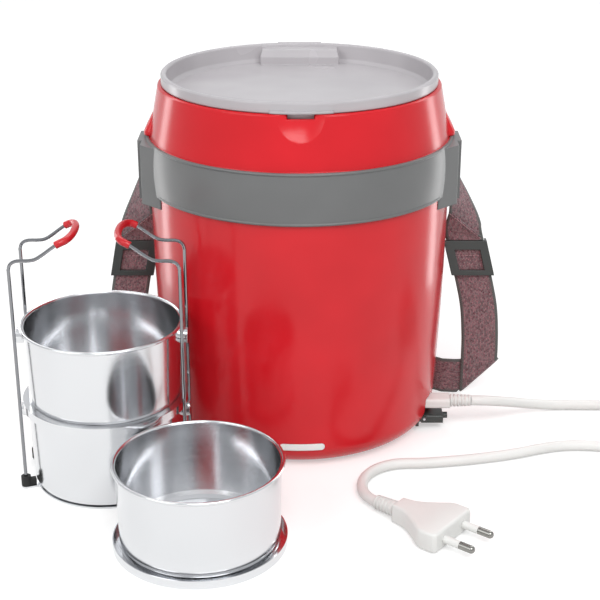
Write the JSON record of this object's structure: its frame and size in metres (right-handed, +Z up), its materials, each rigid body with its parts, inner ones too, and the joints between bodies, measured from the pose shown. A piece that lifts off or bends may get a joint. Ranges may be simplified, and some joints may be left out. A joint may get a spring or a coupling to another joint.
{
  "type": "electric lunch box",
  "caption": "Insulated round heating pot with hinged lid, shoulder strap and pull-out power cord, with a wire rack of stacking steel food containers beside it.",
  "frame": {"origin": "centre of the foot pad of the red body, on the face that it stands on", "axes": "+Z up along the axis of the body, -Y towards the indicator lens, +X towards the power inlet"},
  "size_m": [0.4417, 0.3059, 0.222],
  "materials": {
    "red_plastic": "glossy moulded red",
    "grey_plastic": "satin moulded mid grey",
    "light_grey_plastic": "glossy moulded light grey",
    "dark_grey_plastic": "matt moulded dark grey",
    "white_plastic": "satin white",
    "lens": "diffusing white",
    "stainless_steel": "bright stainless",
    "wire_steel": "bright wire",
    "webbing": "woven, speckled",
    "foam": "open foam",
    "aluminium": "cast",
    "element": "oxidised tube",
    "brass": "plain",
    "rubber": "matt",
    "silicone": "pale",
    "lead_insulation": "smooth",
    "phenolic": "matt"
  },
  "bodies": {
    "main_body": {"outer_shell": "red_plastic", "upper_shell": "red_plastic", "band": "grey_plastic", "strap_bars": "stainless_steel", "collar": "light_grey_plastic", "inner_liner": "stainless_steel", "insulation": "foam", "heater_plate": "aluminium", "heating_element": "element", "element_clamp": "stainless_steel", "heat_shield": "stainless_steel", "shield_screws": "stainless_steel", "thermostat": "phenolic", "thermal_fuse": "brass", "indicator_lamp": "lens", "indicator_lens": "lens", "inlet_socket": "dark_grey_plastic", "inlet_pins": "brass", "wiring": "lead_insulation", "base_cover": "dark_grey_plastic", "base_screws": "stainless_steel", "foot_pad": "rubber", "hinge_pin": "stainless_steel", "cover_pin": "stainless_steel", "strap_right": "webbing", "strap_left": "webbing", "strap_back": "webbing", "slider_right": "dark_grey_plastic", "slider_left": "dark_grey_plastic"},
    "lid": {"lid_shell": "light_grey_plastic", "lid_insulation": "foam", "lid_liner": "stainless_steel", "lid_gasket": "silicone", "lid_screws": "stainless_steel"},
    "inlet_flap": {"inlet_cover": "dark_grey_plastic"},
    "cord_set": {"connector": "white_plastic", "connector_contacts": "brass", "connector_relief": "white_plastic", "cord": "white_plastic", "cord_coil": "white_plastic", "coil_tie": "rubber", "cord_end": "white_plastic", "plug_relief": "white_plastic", "plug_body": "white_plastic", "plug_pins": "wire_steel", "plug_sleeves": "white_plastic"},
    "rack": {"rack_base": "stainless_steel", "rack_feet": "dark_grey_plastic", "rack_wire_left": "wire_steel", "rack_wire_right": "wire_steel", "grip_left": "red_plastic", "grip_right": "red_plastic"},
    "low_container": {"container_low": "stainless_steel"},
    "middle_lid": {"container_lid": "stainless_steel"},
    "up_container": {"container_up": "stainless_steel"},
    "stand_lid": {"front_lid": "stainless_steel"},
    "front_container": {"container_front": "stainless_steel"}
  },
  "joints": [
    {"name": "lid_hinge", "type": "hinge", "parent": "main_body", "child": "lid", "pos_m": [0, 0.0905, 0.209], "axis": [-1, 0, 0], "range_deg": [0, 100]},
    {"name": "inlet_flap_hinge", "type": "hinge", "parent": "main_body", "child": "inlet_flap", "pos_m": [0.0784, -0.028, 0.008], "axis": [0, 1, 0], "range_deg": [-15, 15]},
    {"name": "connector_pull", "type": "slide", "parent": "main_body", "child": "cord_set", "axis": [1, 0, 0], "range_m": [0, 0.018]},
    {"name": "rack_lift", "type": "slide", "parent": "main_body", "child": "rack", "axis": [0, 0, 1], "range_m": [0, 0.14]},
    {"name": "low_container_lift", "type": "slide", "parent": "rack", "child": "low_container", "axis": [0, 0, 1], "range_m": [0, 0.013]},
    {"name": "middle_lid_lift", "type": "slide", "parent": "low_container", "child": "middle_lid", "axis": [0, 0, 1], "range_m": [0, 0.013]},
    {"name": "up_container_lift", "type": "slide", "parent": "middle_lid", "child": "up_container", "axis": [0, 0, 1], "range_m": [0, 0.013]},
    {"name": "stand_lid_lift", "type": "slide", "parent": "main_body", "child": "stand_lid", "axis": [0, 0, 1], "range_m": [0, 0.06]},
    {"name": "front_container_lift", "type": "slide", "parent": "stand_lid", "child": "front_container", "axis": [0, 0, 1], "range_m": [0, 0.06]}
  ]
}
